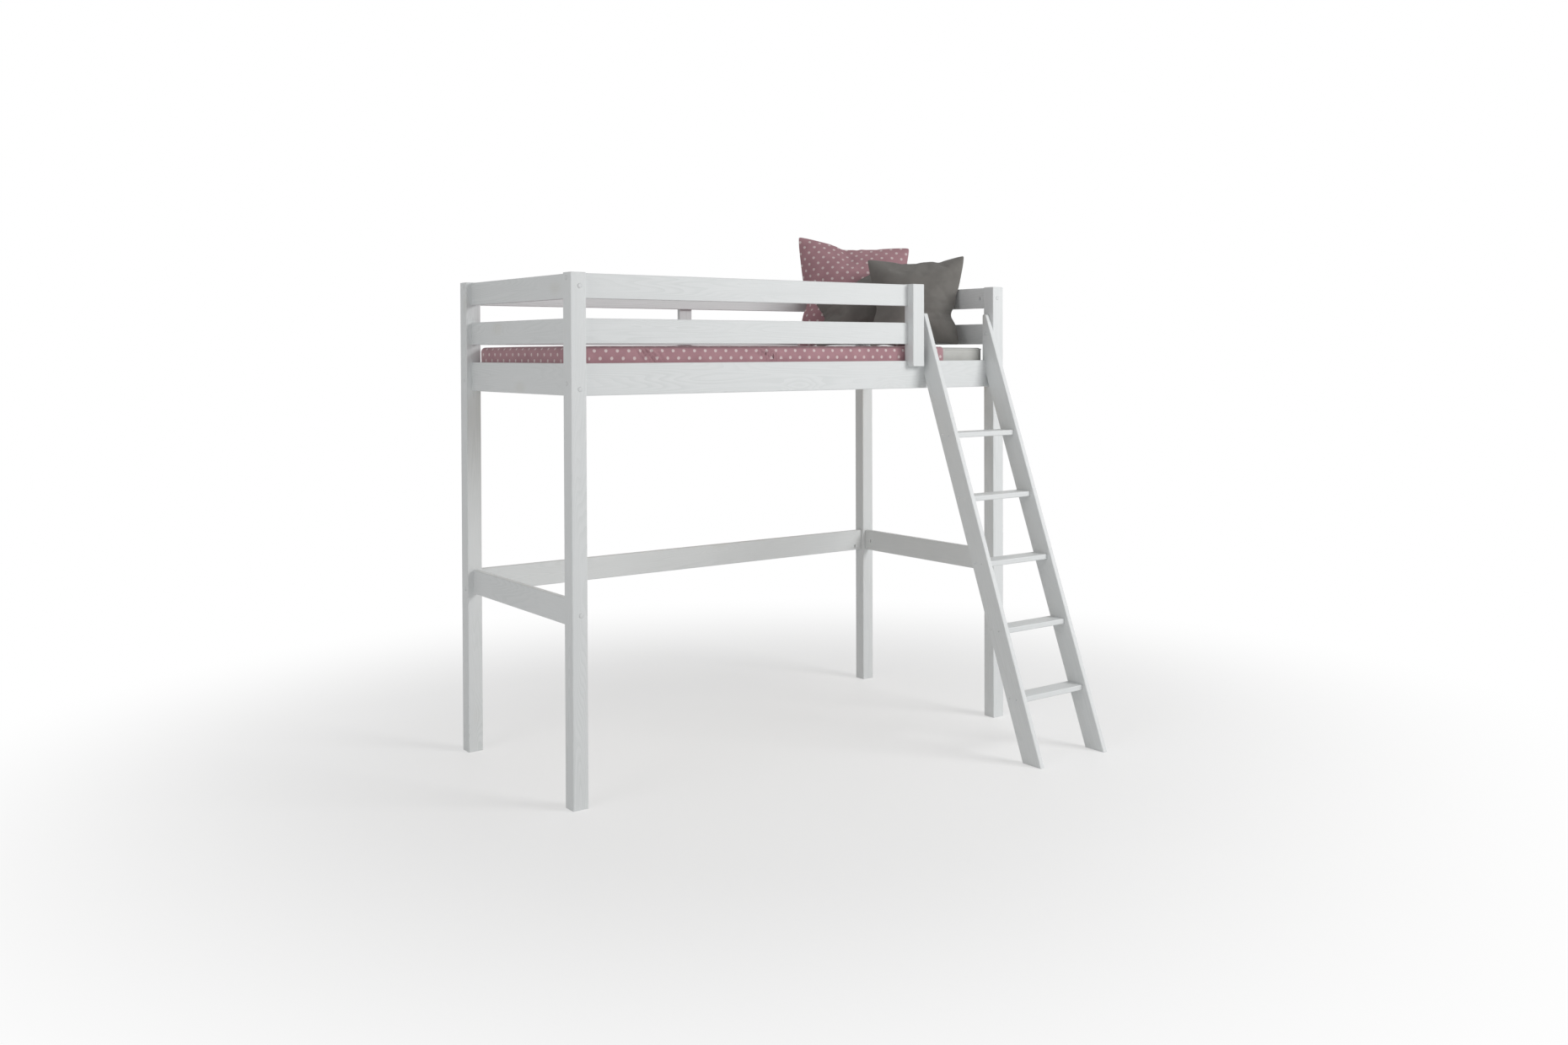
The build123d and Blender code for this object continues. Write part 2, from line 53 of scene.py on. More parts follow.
# %% [markdown]
# Two small helpers come first. Operators act on everything that is selected, and the frame
# arrives selected, so each step starts by choosing exactly the objects that it works on.

# %% Choose objects and apply modifiers


def choose(*objects):
    """Selects only these objects; the first is the active one."""
    bpy.ops.object.select_all(action="DESELECT")
    for piece in objects:
        piece.select_set(True)
    bpy.context.view_layer.objects.active = objects[0]
    return objects[0]


def apply_modifiers(piece):
    choose(piece)
    for modifier in list(piece.modifiers):
        bpy.ops.object.modifier_apply(modifier=modifier.name)


def settle(piece):
    """Moves a piece's place into its mesh, so that the object sits at the origin."""
    choose(piece)
    bpy.ops.object.transform_apply(location=True, rotation=True, scale=True)


bpy.ops.object.select_all(action="DESELECT")

# %% [markdown]
# The camera stands in front of the foot end, at about the height of the mattress, and looks
# along the bed. Its place and lens were worked out from the straight edges of the frame. The
# small lens shift keeps the upright edges upright.

# %% Camera
camera_place = Vector((-3.2668, -4.661, 1.6216))
camera_yaw = 0.6635
camera_pitch = 0.01405
camera_roll = -0.0026
camera_data = bpy.data.cameras.new("camera")
camera_data.lens = 32.09
camera_data.shift_x = -0.0494
camera_data.shift_y = -0.0964
camera = bpy.data.objects.new("camera", camera_data)
bpy.context.scene.collection.objects.link(camera)
camera.rotation_mode = "XYZ"
camera.matrix_world = (
    Matrix.Translation(camera_place)
    @ Matrix.Rotation(-camera_yaw, 4, "Z")
    @ Matrix.Rotation(math.pi / 2 - camera_pitch, 4, "X")
    @ Matrix.Rotation(camera_roll, 4, "Z")
)
bpy.context.scene.camera = camera
bpy.context.scene.view_settings.view_transform = "Standard"
print("camera", [round(value, 2) for value in camera_place])

# %% [markdown]
# The room is a studio: a pale floor and white surroundings, a large lamp in front that lights
# the long side, and a weaker one at the foot end. Large lamps give soft shadows, as an
# overcast window does. What the camera sees past the floor is plain white, and so is what
# metal mirrors.

# %% Studio
world = bpy.data.worlds.new("studio")
bpy.context.scene.world = world
world.use_nodes = True
tree = world.node_tree
tree.nodes.clear()
path = tree.nodes.new("ShaderNodeLightPath")
seen = tree.nodes.new("ShaderNodeMath")
seen.operation = "MAXIMUM"
seen_through = tree.nodes.new("ShaderNodeMath")
seen_through.operation = "MAXIMUM"
tree.links.new(path.outputs["Is Camera Ray"], seen.inputs[0])
tree.links.new(path.outputs["Is Glossy Ray"], seen.inputs[1])
tree.links.new(seen.outputs[0], seen_through.inputs[0])
tree.links.new(path.outputs["Is Transmission Ray"], seen_through.inputs[1])
fill_light = tree.nodes.new("ShaderNodeBackground")
fill_light.inputs["Color"].default_value = (1, 1, 1, 1)
fill_light.inputs["Strength"].default_value = 0.36
white = tree.nodes.new("ShaderNodeBackground")
white.inputs["Color"].default_value = (1, 1, 1, 1)
white.inputs["Strength"].default_value = 1.0
mix = tree.nodes.new("ShaderNodeMixShader")
out = tree.nodes.new("ShaderNodeOutputWorld")
tree.links.new(seen_through.outputs[0], mix.inputs[0])
tree.links.new(fill_light.outputs[0], mix.inputs[1])
tree.links.new(white.outputs[0], mix.inputs[2])
tree.links.new(mix.outputs[0], out.inputs["Surface"])


def add_lamp(name, place, aim, side, watts):
    bpy.ops.object.light_add(type="AREA", location=place)
    lamp = bpy.context.object
    lamp.name = name
    lamp.data.size = side
    lamp.data.energy = watts
    direction = Vector(aim) - Vector(place)
    lamp.rotation_euler = direction.to_track_quat("-Z", "Y").to_euler()
    return lamp


add_lamp("key_lamp", (3.0, -5.0, 3.5), (0, 0, 1.2), 2.6, 190)
add_lamp("foot_lamp", (-5.6, -1.6, 3.4), (0, 0.2, 1.2), 3.0, 48)

bpy.ops.mesh.primitive_circle_add(vertices=64, radius=14, fill_type="NGON", location=(0, 0, -0.0005))
floor = bpy.context.object
floor.name = "floor"

# %% [markdown]
# Every finish is a small network of shader nodes. These helpers keep the networks short to
# read: one adds a node with its settings, one does a sum, and one blends two colours.

# %% Node helpers


def add_node(tree, kind, inputs=(), **settings):
    """A node whose listed inputs are numbers, colours or sockets of other nodes."""
    node = tree.nodes.new(kind)
    for key, value in settings.items():
        setattr(node, key, value)
    for key, value in dict(inputs).items():
        if isinstance(value, bpy.types.NodeSocket):
            tree.links.new(value, node.inputs[key])
        else:
            node.inputs[key].default_value = value
    return node


def sum_of(tree, operation, first, second=0.0, clamp=False):
    node = add_node(tree, "ShaderNodeMath", {0: first, 1: second}, operation=operation, use_clamp=clamp)
    return node.outputs[0]


def blend_colours(tree, share, first, second):
    node = add_node(tree, "ShaderNodeMix", {"Factor": share}, data_type="RGBA")
    for socket, value in ((node.inputs[6], first), (node.inputs[7], second)):
        if isinstance(value, bpy.types.NodeSocket):
            tree.links.new(value, socket)
        else:
            socket.default_value = value
    return node.outputs[2]


def ramp(tree, value, low, high):
    """Maps a value so that low gives 0 and high gives 1, smoothly."""
    node = add_node(
        tree, "ShaderNodeMapRange",
        {"Value": value, "From Min": low, "From Max": high},
        interpolation_type="SMOOTHSTEP",
    )
    return node.outputs[0]


def new_group(name, inputs, outputs):
    """A node group with named value sockets; a name ending in _vector or _colour says its kind."""
    group = bpy.data.node_groups.new(name, "ShaderNodeTree")
    for way, names in (("INPUT", inputs), ("OUTPUT", outputs)):
        for socket in names:
            kind = "NodeSocketFloat"
            if socket.endswith("vector"):
                kind = "NodeSocketVector"
            if socket.endswith("colour"):
                kind = "NodeSocketColor"
            group.interface.new_socket(socket, in_out=way, socket_type=kind)
    return group, group.nodes.new("NodeGroupInput").outputs, group.nodes.new("NodeGroupOutput").inputs


def use_group(tree, group, inputs):
    """The outputs of a group that is placed with these values."""
    node = tree.nodes.new("ShaderNodeGroup")
    node.node_tree = group
    for key, value in inputs.items():
        if isinstance(value, bpy.types.NodeSocket):
            tree.links.new(value, node.inputs[key])
        else:
            node.inputs[key].default_value = value
    return node.outputs


def new_material(name, **plain):
    """A material with a Principled shader; plain inputs are set on the shader itself."""
    material = bpy.data.materials.new(name)
    material.use_nodes = True
    tree = material.node_tree
    shader = tree.nodes["Principled BSDF"]
    for key, value in plain.items():
        shader.inputs[key.replace("_", " ")].default_value = value
    return material, tree, shader


print("node helpers ready")

# %% [markdown]
# Pine shows yearly rings. A smooth noise that is stretched along the board has closed, drawn
# out contour lines, and a saw tooth of that noise repeats them, as the rings of a plain-sawn
# board do. A second, much finer noise gives the fibres, and a sparse one the knots.

# %% Pine grain group
pine_grain, given, gives = new_group(
    "pine grain", ["board_vector", "ring_spacing"], ["rings", "fibres", "knots"]
)
tree = pine_grain
stretched = add_node(
    tree, "ShaderNodeVectorMath", {0: given["board_vector"], 1: (1, 1, 0.07)}, operation="MULTIPLY"
).outputs[0]
field = add_node(
    tree, "ShaderNodeTexNoise", {"Vector": stretched, "Scale": 11.0, "Detail": 1.5, "Roughness": 0.4}
).outputs[0]
knot_space = add_node(
    tree, "ShaderNodeVectorMath", {0: given["board_vector"], 1: (1, 1, 0.55)}, operation="MULTIPLY"
).outputs[0]
knot_distance = add_node(
    tree, "ShaderNodeTexVoronoi", {"Vector": knot_space, "Scale": 4.2, "Randomness": 1.0}
).outputs["Distance"]
knot = ramp(tree, knot_distance, 0.16, 0.03)
bent = sum_of(tree, "ADD", field, sum_of(tree, "MULTIPLY", ramp(tree, knot_distance, 0.32, 0.0), 0.12))
many = sum_of(tree, "DIVIDE", bent, given["ring_spacing"])
saw = sum_of(tree, "FRACT", many)
late_wood = sum_of(tree, "MULTIPLY", ramp(tree, saw, 0.25, 0.92), ramp(tree, saw, 1.0, 0.94))
fine_space = add_node(
    tree, "ShaderNodeVectorMath", {0: given["board_vector"], 1: (1, 1, 0.012)}, operation="MULTIPLY"
).outputs[0]
fibre = add_node(
    tree, "ShaderNodeTexNoise", {"Vector": fine_space, "Scale": 620.0, "Detail": 3.0}
).outputs[0]
tree.links.new(late_wood, gives["rings"])
tree.links.new(fibre, gives["fibres"])
tree.links.new(knot, gives["knots"])
print("pine grain group:", len(tree.nodes), "nodes")

# %% [markdown]
# Paint lies over the grain, so the wood only shows as faint streaks and a slight relief. A Bevel
# node rounds each sawn edge by about a millimetre and, set against the face's own normal, also
# finds the edges, which are blended to a lighter colour as a painted highlight along each edge.

# %% Painted pine
paint_colour = (0.735, 0.752, 0.755, 1)
streak_colour = (0.60, 0.625, 0.62, 1)
knot_colour = (0.56, 0.54, 0.46, 1)
# The lighter colour of the painted highlight along the edges.
edge_highlight_colour = (0.80, 0.815, 0.81, 1)
lean_slope = 0.388
lean = math.atan(lean_slope)
board_ways = {
    "x": ((0, 1, 0), (0, 0, 1), (1, 0, 0)),
    "y": ((1, 0, 0), (0, 0, 1), (0, 1, 0)),
    "z": ((1, 0, 0), (0, 1, 0), (0, 0, 1)),
    "stile": ((1, 0, 0), (0, math.cos(lean), -math.sin(lean)), (0, math.sin(lean), math.cos(lean))),
}


def board_space(tree, way):
    """Object coordinates turned so that the board's length is the third one."""
    place = add_node(tree, "ShaderNodeTexCoord").outputs["Object"]
    joined = add_node(tree, "ShaderNodeCombineXYZ")
    for number, direction in enumerate(board_ways[way]):
        along = add_node(tree, "ShaderNodeVectorMath", {0: place, 1: direction}, operation="DOT_PRODUCT")
        tree.links.new(along.outputs["Value"], joined.inputs[number])
    return place, joined.outputs[0]


def painted_pine(way):
    material, tree, shader = new_material(f"painted pine {way}", Coat_Weight=0.12, Coat_Roughness=0.35)
    place, board = board_space(tree, way)
    grain = use_group(tree, pine_grain, {"board_vector": board, "ring_spacing": 0.028})
    soft_edge = add_node(tree, "ShaderNodeBevel", {"Radius": 0.0016}, samples=6)
    face = add_node(tree, "ShaderNodeNewGeometry").outputs["Normal"]
    same = add_node(
        tree, "ShaderNodeVectorMath", {0: soft_edge.outputs[0], 1: face}, operation="DOT_PRODUCT"
    ).outputs["Value"]
    edge = ramp(tree, same, 0.995, 0.90)
    blotch = add_node(tree, "ShaderNodeTexNoise", {"Vector": place, "Scale": 2.3, "Detail": 3.0}).outputs[0]
    streaks = sum_of(tree, "MULTIPLY", grain["rings"], ramp(tree, blotch, 0.30, 0.75))
    colour = blend_colours(tree, sum_of(tree, "MULTIPLY", streaks, 0.42), paint_colour, streak_colour)
    fibres = ramp(tree, grain["fibres"], 0.35, 0.75)
    colour = blend_colours(tree, sum_of(tree, "MULTIPLY", fibres, 0.16), colour, streak_colour)
    colour = blend_colours(tree, sum_of(tree, "MULTIPLY", grain["knots"], 0.2), colour, knot_colour)
    # Edges are blended towards a lighter colour, a painted highlight along each edge.
    colour = blend_colours(tree, sum_of(tree, "MULTIPLY", edge, 0.6), colour, edge_highlight_colour)
    tree.links.new(colour, shader.inputs["Base Color"])
    rough = sum_of(tree, "ADD", 0.46, sum_of(tree, "MULTIPLY", grain["fibres"], 0.16))
    tree.links.new(rough, shader.inputs["Roughness"])
    relief = sum_of(
        tree, "ADD", sum_of(tree, "MULTIPLY", grain["rings"], -0.7), sum_of(tree, "MULTIPLY", grain["fibres"], 0.5)
    )
    bump = add_node(
        tree, "ShaderNodeBump",
        {"Height": relief, "Distance": 0.00022, "Strength": 0.8, "Normal": soft_edge.outputs[0]},
    )
    tree.links.new(bump.outputs[0], shader.inputs["Normal"])
    return material


def finish_node(name, material):
    """Gives a frame node its material, in place of whatever it came with."""
    mesh = nodes[name].data
    mesh.materials.clear()
    mesh.materials.append(material)


painted = {way: painted_pine(way) for way in board_ways}
long_boards = [name for name in nodes if name.startswith(("front_", "rear_")) and name.endswith(("rail", "crossbar"))]
end_boards = [name for name in nodes if name.startswith(("left_", "right_")) and name.endswith(("rail", "crossbar"))]
uprights = [name for name in nodes if name.endswith(("_post", "_upright"))]
stiles = ["ladder_left_stile", "ladder_right_stile"]
treads = sorted(name for name in nodes if name.startswith("ladder_tread"))
ledges = ["front_slat_ledge", "rear_slat_ledge"]
for names, way in (
    (long_boards + treads, "x"), (end_boards, "y"), (uprights, "z"), (stiles, "stile"),
):
    for name in names:
        finish_node(name, painted[way])
print("painted:", len(long_boards + end_boards + uprights + stiles + treads), "boards")

# %% [markdown]
# The slats and the ledges that carry them are planed pine without paint: warm, with clear
# rings and a few knots. They are what shows when you sit under the bed.

# %% Bare pine
bare_early = (0.68, 0.50, 0.30, 1)
bare_late = (0.47, 0.28, 0.13, 1)
bare_knot = (0.20, 0.09, 0.035, 1)


def bare_pine(way):
    material, tree, shader = new_material(f"bare pine {way}")
    place, board = board_space(tree, way)
    grain = use_group(tree, pine_grain, {"board_vector": board, "ring_spacing": 0.024})
    blotch = add_node(tree, "ShaderNodeTexNoise", {"Vector": place, "Scale": 3.0, "Detail": 2.0}).outputs[0]
    early = blend_colours(tree, ramp(tree, blotch, 0.3, 0.7), bare_early, (0.75, 0.58, 0.38, 1))
    colour = blend_colours(tree, sum_of(tree, "MULTIPLY", grain["rings"], 0.62), early, bare_late)
    fibres = ramp(tree, grain["fibres"], 0.4, 0.7)
    colour = blend_colours(tree, sum_of(tree, "MULTIPLY", fibres, 0.15), colour, bare_late)
    colour = blend_colours(tree, sum_of(tree, "MULTIPLY", grain["knots"], 0.85), colour, bare_knot)
    tree.links.new(colour, shader.inputs["Base Color"])
    rough = sum_of(tree, "ADD", 0.52, sum_of(tree, "MULTIPLY", grain["fibres"], 0.2))
    tree.links.new(rough, shader.inputs["Roughness"])
    soft_edge = add_node(tree, "ShaderNodeBevel", {"Radius": 0.0012}, samples=4)
    bump = add_node(
        tree, "ShaderNodeBump",
        {"Height": grain["rings"], "Distance": 0.0002, "Strength": 0.6, "Normal": soft_edge.outputs[0]},
    )
    tree.links.new(bump.outputs[0], shader.inputs["Normal"])
    return material


slats = sorted(name for name in nodes if name.startswith("slat_") and name != "slat_tapes")
bare_along_y = bare_pine("y")
for name in slats:
    finish_node(name, bare_along_y)
bare_along_x = bare_pine("x")
for name in ledges:
    finish_node(name, bare_along_x)
print("bare:", len(slats + ledges), "boards")

# %% [markdown]
# The hardware is small, but each piece has its own finish: zinc-plated steel with a brushed,
# slightly cloudy shine, moulded caps with a fine pebbled skin, and webbing with a rib weave.

# %% Hardware finishes
zinc, tree, shader = new_material("zinc plated steel", Metallic=1.0)
place = add_node(tree, "ShaderNodeTexCoord").outputs["Object"]
cloud = add_node(tree, "ShaderNodeTexNoise", {"Vector": place, "Scale": 160.0, "Detail": 4.0}).outputs[0]
tree.links.new(
    blend_colours(tree, ramp(tree, cloud, 0.3, 0.7), (0.50, 0.51, 0.53, 1), (0.66, 0.66, 0.64, 1)),
    shader.inputs["Base Color"],
)
tree.links.new(sum_of(tree, "ADD", 0.24, sum_of(tree, "MULTIPLY", cloud, 0.25)), shader.inputs["Roughness"])
scratch = add_node(tree, "ShaderNodeTexNoise", {"Vector": place, "Scale": 900.0, "Detail": 2.0}).outputs[0]
bump = add_node(tree, "ShaderNodeBump", {"Height": scratch, "Distance": 0.00003, "Strength": 0.5})
tree.links.new(bump.outputs[0], shader.inputs["Normal"])

cap_plastic, tree, shader = new_material("cap plastic")
place = add_node(tree, "ShaderNodeTexCoord").outputs["Object"]
tint = add_node(tree, "ShaderNodeTexNoise", {"Vector": place, "Scale": 5.0}).outputs[0]
tree.links.new(
    blend_colours(tree, tint, (0.66, 0.68, 0.69, 1), (0.74, 0.75, 0.75, 1)), shader.inputs["Base Color"]
)
pebble = add_node(tree, "ShaderNodeTexNoise", {"Vector": place, "Scale": 2600.0, "Detail": 1.0}).outputs[0]
tree.links.new(sum_of(tree, "ADD", 0.40, sum_of(tree, "MULTIPLY", pebble, 0.18)), shader.inputs["Roughness"])
rounded = add_node(tree, "ShaderNodeBevel", {"Radius": 0.0012}, samples=4)
bump = add_node(
    tree, "ShaderNodeBump",
    {"Height": pebble, "Distance": 0.00003, "Strength": 0.6, "Normal": rounded.outputs[0]},
)
tree.links.new(bump.outputs[0], shader.inputs["Normal"])

# %% [markdown]
# A plain weave is two sets of threads, each going over and under the other. The product of
# two sine waves gives that chequer of raised threads. One group serves every cloth here, with
# its own thread spacing, and a little noise keeps the threads from being perfectly even.

# %% Weave group
plain_weave, given, gives = new_group(
    "plain weave", ["cloth_vector", "threads_per_metre"], ["height", "shade"]
)
tree = plain_weave
wander = add_node(tree, "ShaderNodeTexNoise", {"Vector": given["cloth_vector"], "Scale": 90.0, "Detail": 2.0})
shifted = add_node(
    tree, "ShaderNodeVectorMath", {0: wander.outputs[1], 1: (0.0006, 0.0006, 0.0006)}, operation="MULTIPLY"
).outputs[0]
moved = add_node(
    tree, "ShaderNodeVectorMath", {0: given["cloth_vector"], 1: shifted}, operation="ADD"
).outputs[0]
split = add_node(tree, "ShaderNodeSeparateXYZ", {0: moved}).outputs
waves = []
for axis in (0, 1):
    turns = sum_of(tree, "MULTIPLY", split[axis], given["threads_per_metre"])
    waves.append(sum_of(tree, "SINE", sum_of(tree, "MULTIPLY", turns, math.pi)))
threads = sum_of(tree, "MULTIPLY", waves[0], waves[1])
tree.links.new(threads, gives["height"])
tree.links.new(ramp(tree, threads, -0.9, 0.9), gives["shade"])

# %% [markdown]
# The cover and the large pillow carry a common print: small pale dots in staggered rows on
# dusty pink. The dots are found by folding the cloth's own coordinates into one repeat and
# measuring the distance to the nearest of its two dots, so they stay round on flat cloth and
# follow every fold.

# %% Dotted print group
dotted_print, given, gives = new_group(
    "dotted print", ["cloth_vector", "repeat_across", "repeat_up", "dot_radius"], ["dots"]
)
tree = dotted_print
ragged = add_node(tree, "ShaderNodeTexNoise", {"Vector": given["cloth_vector"], "Scale": 260.0, "Detail": 2.0})
split = add_node(tree, "ShaderNodeSeparateXYZ", {0: given["cloth_vector"]}).outputs
masks = []
for shift in (0.0, 0.5):
    away = []
    for axis, repeat in ((0, "repeat_across"), (1, "repeat_up")):
        turns = sum_of(tree, "ADD", sum_of(tree, "DIVIDE", split[axis], given[repeat]), shift)
        share = sum_of(tree, "SUBTRACT", sum_of(tree, "FRACT", turns), 0.5)
        away.append(sum_of(tree, "MULTIPLY", share, given[repeat]))
    far = sum_of(
        tree, "SQRT",
        sum_of(tree, "ADD", sum_of(tree, "MULTIPLY", away[0], away[0]), sum_of(tree, "MULTIPLY", away[1], away[1])),
    )
    rough_far = sum_of(tree, "ADD", far, sum_of(tree, "MULTIPLY", ragged.outputs[0], 0.002))
    over = sum_of(tree, "SUBTRACT", rough_far, given["dot_radius"])
    masks.append(ramp(tree, over, 0.0014, 0.0002))
tree.links.new(sum_of(tree, "MAXIMUM", masks[0], masks[1]), gives["dots"])


def cloth(name, colour, shade_colour, threads, dots=False, own_map=True):
    """Woven cotton; the print and the weave follow the piece's own map where it has one."""
    material, tree, shader = new_material(name, Sheen_Weight=0.22, Sheen_Roughness=0.5, Specular_IOR_Level=0.25)
    coordinates = add_node(tree, "ShaderNodeTexCoord").outputs
    flat = coordinates["UV" if own_map else "Object"]
    place = coordinates["Object"]
    weave = use_group(tree, plain_weave, {"cloth_vector": flat, "threads_per_metre": threads})
    cloudy = add_node(tree, "ShaderNodeTexNoise", {"Vector": place, "Scale": 14.0, "Detail": 4.0}).outputs[0]
    shown = blend_colours(tree, ramp(tree, cloudy, 0.3, 0.75), colour, shade_colour)
    if dots:
        spots = use_group(
            tree, dotted_print,
            {"cloth_vector": flat, "repeat_across": 0.0465, "repeat_up": 0.056, "dot_radius": 0.0066},
        )
        shown = blend_colours(tree, sum_of(tree, "MULTIPLY", spots["dots"], 0.9), shown, dot_colour)
    shown = blend_colours(tree, sum_of(tree, "MULTIPLY", weave["shade"], 0.16), shown, (0.02, 0.02, 0.02, 1))
    tree.links.new(shown, shader.inputs["Base Color"])
    tree.links.new(sum_of(tree, "ADD", 0.78, sum_of(tree, "MULTIPLY", cloudy, 0.2)), shader.inputs["Roughness"])
    crumple = add_node(tree, "ShaderNodeTexNoise", {"Vector": place, "Scale": 38.0, "Detail": 3.0}).outputs[0]
    soft = add_node(tree, "ShaderNodeBump", {"Height": crumple, "Distance": 0.0012, "Strength": 0.5})
    bump = add_node(
        tree, "ShaderNodeBump",
        {"Height": weave["height"], "Distance": 0.00012, "Strength": 0.8, "Normal": soft.outputs[0]},
    )
    tree.links.new(bump.outputs[0], shader.inputs["Normal"])
    return material


dot_colour = (0.80, 0.68, 0.68, 1)
dotted_cotton = cloth("dotted cotton", (0.50, 0.285, 0.315, 1), (0.44, 0.245, 0.275, 1), 1500, dots=True)
grey_cotton = cloth("grey cotton", (0.215, 0.205, 0.19, 1), (0.18, 0.172, 0.16, 1), 1300)
ticking = cloth("mattress ticking", (0.60, 0.60, 0.575, 1), (0.54, 0.54, 0.515, 1), 900, own_map=False)
webbing = cloth("webbing", (0.66, 0.64, 0.58, 1), (0.58, 0.56, 0.50, 1), 420, own_map=False)
finish_node("slat_tapes", webbing)
finish_node("bolt_caps", cap_plastic)
for name in ("long_rail_bolts", "end_rail_bolts", "rail_nuts", "ladder_bolt", "ladder_insert_nut"):
    finish_node(name, zinc)
print("cloths and hardware ready")

# %% Floor finish
floor_paint, tree, shader = new_material("floor paint", Roughness=0.6)
place = add_node(tree, "ShaderNodeTexCoord").outputs["Object"]
speck = add_node(tree, "ShaderNodeTexNoise", {"Vector": place, "Scale": 1.2, "Detail": 3.0}).outputs[0]
pale = blend_colours(tree, speck, (0.90, 0.90, 0.895, 1), (0.93, 0.93, 0.93, 1))
tree.links.new(pale, shader.inputs["Base Color"])
away = add_node(tree, "ShaderNodeVectorMath", {0: place}, operation="LENGTH").outputs["Value"]
path = add_node(tree, "ShaderNodeLightPath")
seen = sum_of(
    tree, "MAXIMUM",
    sum_of(tree, "MAXIMUM", path.outputs["Is Camera Ray"], path.outputs["Is Glossy Ray"]),
    path.outputs["Is Transmission Ray"],
)
fade = sum_of(tree, "ADD", 0.45, sum_of(tree, "MULTIPLY", ramp(tree, away, 1.2, 3.6), 0.55), True)
glow = add_node(tree, "ShaderNodeEmission", {"Color": (1, 1, 1, 1), "Strength": 1.0})
both = add_node(tree, "ShaderNodeMixShader", {0: sum_of(tree, "MULTIPLY", seen, fade)})
tree.links.new(shader.outputs[0], both.inputs[1])
tree.links.new(glow.outputs[0], both.inputs[2])
tree.links.new(both.outputs[0], tree.nodes["Material Output"].inputs["Surface"])
floor.data.materials.append(floor_paint)

# %% [markdown]
# The mattress is a foam block in a sewn cover. It starts as a box whose upright corners are
# beveled round and whose rims are beveled soft. Bisect cuts give it rows of points, and those
# lift into a low crown. A piping cord runs round both rims, where the panels are sewn.

# %% Mattress
low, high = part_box("mattress")
mattress_size = high - low
mattress_middle = (high + low) / 2
corner_round = 0.050
rim_round = 0.013
crown = 0.007


def crown_share(point):
    """1 in the middle of the bed and 0 at its edges."""
    across = 1 - min(1, abs(2 * (point.y - mattress_middle.y) / mattress_size.y)) ** 2
    along = 1 - min(1, abs(2 * (point.x - mattress_middle.x) / mattress_size.x)) ** 2
    return max(0.0, across) ** 0.8 * max(0.0, along) ** 0.4


def rounded_block(name, size, middle, corner, rim, rim_steps):
    """A box with round upright corners and soft rims."""
    bpy.ops.mesh.primitive_cube_add(size=1, location=middle)
    block = bpy.context.object
    block.name = name
    block.scale = size
    settle(block)
    bpy.ops.object.mode_set(mode="EDIT")
    mesh = bmesh.from_edit_mesh(block.data)
    bpy.ops.mesh.select_all(action="DESELECT")
    bpy.ops.mesh.select_mode(type="EDGE")
    for edge in mesh.edges:
        edge.select = abs((edge.verts[0].co - edge.verts[1].co).z) > size[2] / 2
    bmesh.update_edit_mesh(block.data)
    bpy.ops.mesh.bevel(offset=corner, segments=8, affect="EDGES")
    mesh = bmesh.from_edit_mesh(block.data)
    bpy.ops.mesh.select_all(action="DESELECT")
    for edge in mesh.edges:
        heights = [vert.co.z for vert in edge.verts]
        level = abs(heights[0] - heights[1]) < 1e-5
        rim_face = any(abs(face.normal.z) > 0.9 for face in edge.link_faces)
        edge.select = level and rim_face
    bmesh.update_edit_mesh(block.data)
    bpy.ops.mesh.bevel(offset=rim, segments=rim_steps, affect="EDGES")
    bpy.ops.object.mode_set(mode="OBJECT")
    return block


def cut_rows(block, axis, start, end, spacing):
    """Bisects a mesh at even steps along an axis."""
    count = max(1, round((end - start) / spacing))
    normal = [0, 0, 0]
    normal[axis] = 1
    choose(block)
    bpy.ops.object.mode_set(mode="EDIT")
    for number in range(1, count):
        place = [0, 0, 0]
        place[axis] = start + (end - start) * number / count
        bpy.ops.mesh.select_all(action="SELECT")
        bpy.ops.mesh.bisect(plane_co=place, plane_no=normal)
    bpy.ops.object.mode_set(mode="OBJECT")


trimmed = mattress_size - Vector((0.004, 0.004, crown + 0.001))
mattress = rounded_block(
    "foam_mattress", trimmed, mattress_middle - Vector((0, 0, crown / 2)), corner_round, rim_round, 4
)
cut_rows(mattress, 0, low.x, high.x, 0.04)
cut_rows(mattress, 1, low.y, high.y, 0.04)
cut_rows(mattress, 2, low.z, high.z, 0.03)
for vert in mattress.data.vertices:
    top_share = max(0.0, (vert.co.z - mattress_middle.z) / (mattress_size.z / 2))
    vert.co.z += crown * crown_share(vert.co) * top_share
choose(mattress)
bpy.ops.object.shade_smooth()
mattress.data.materials.append(ticking)


def rim_cord(name, z, inset, radius):
    """A thin tube round the mattress, along the seam between its top and its side."""
    half_x = mattress_size.x / 2 - inset
    half_y = mattress_size.y / 2 - inset
    corner = corner_round - inset
    points = []
    steps = 8
    for turn, (side_x, side_y) in enumerate(((1, 1), (-1, 1), (-1, -1), (1, -1))):
        for step in range(steps + 1):
            angle = math.radians(90 * (turn + step / steps))
            points.append((
                mattress_middle.x + side_x * (half_x - corner) + corner * math.cos(angle),
                mattress_middle.y + side_y * (half_y - corner) + corner * math.sin(angle),
                z,
            ))
    curve = bpy.data.curves.new(name, "CURVE")
    curve.dimensions = "3D"
    curve.bevel_depth = radius
    curve.bevel_resolution = 2
    line = curve.splines.new("POLY")
    line.points.add(len(points) - 1)
    for point, place in zip(line.points, points):
        point.co = (*place, 1)
    line.use_cyclic_u = True
    cord = bpy.data.objects.new(name, curve)
    bpy.context.scene.collection.objects.link(cord)
    choose(cord)
    bpy.ops.object.convert(target="MESH")
    bpy.ops.object.shade_smooth()
    cord.data.materials.append(ticking)
    return cord


